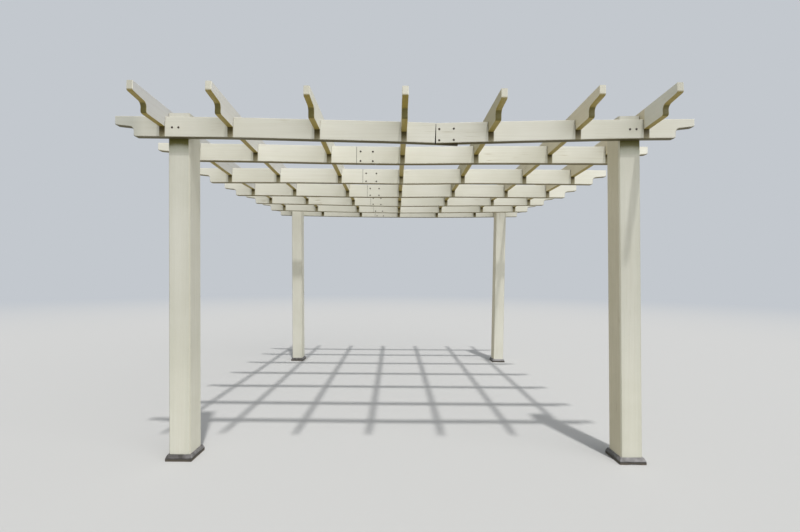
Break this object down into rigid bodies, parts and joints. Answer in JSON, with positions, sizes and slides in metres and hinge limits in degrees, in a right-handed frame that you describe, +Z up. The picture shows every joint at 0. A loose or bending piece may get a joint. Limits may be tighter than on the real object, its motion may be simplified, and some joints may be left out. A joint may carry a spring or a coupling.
{
  "type": "garden pergola",
  "caption": "Square open garden pergola of painted boards: cross-lapped beams and rafters with ogee tails, half-lap joints and a sunken middle, on square posts with base trims.",
  "frame": {"origin": "on the ground in the middle of the four posts, under the middle of the roof", "axes": "+Z up, +Y from the front beam towards the rear beam, +X to the right seen from the front"},
  "size_m": [3.9132, 3.9204, 2.4375],
  "materials": {
    "cream_paint": "satin cream exterior paint over smooth boards, a little weathered",
    "charcoal_trim": "matt charcoal moulded skirt, dusty"
  },
  "bodies": {
    "root": {"base_trim_front_left": "charcoal_trim", "base_trim_front_right": "charcoal_trim", "base_trim_rear_left": "charcoal_trim", "base_trim_rear_right": "charcoal_trim", "beam_1_long": "cream_paint", "beam_1_short": "cream_paint", "beam_2_long": "cream_paint", "beam_2_short": "cream_paint", "beam_3_long": "cream_paint", "beam_3_short": "cream_paint", "beam_4_long": "cream_paint", "beam_4_short": "cream_paint", "beam_5_long": "cream_paint", "beam_5_short": "cream_paint", "beam_6_long": "cream_paint", "beam_6_short": "cream_paint", "beam_7_long": "cream_paint", "beam_7_short": "cream_paint", "post_front_left": "cream_paint", "post_front_right": "cream_paint", "post_rear_left": "cream_paint", "post_rear_right": "cream_paint", "rafter_1_front": "cream_paint", "rafter_1_rear": "cream_paint", "rafter_2_front": "cream_paint", "rafter_2_rear": "cream_paint", "rafter_3_front": "cream_paint", "rafter_3_rear": "cream_paint", "rafter_4_front": "cream_paint", "rafter_4_rear": "cream_paint", "rafter_5_front": "cream_paint", "rafter_5_rear": "cream_paint", "rafter_6_front": "cream_paint", "rafter_6_rear": "cream_paint", "rafter_7_front": "cream_paint", "rafter_7_rear": "cream_paint"}
  },
  "joints": []
}
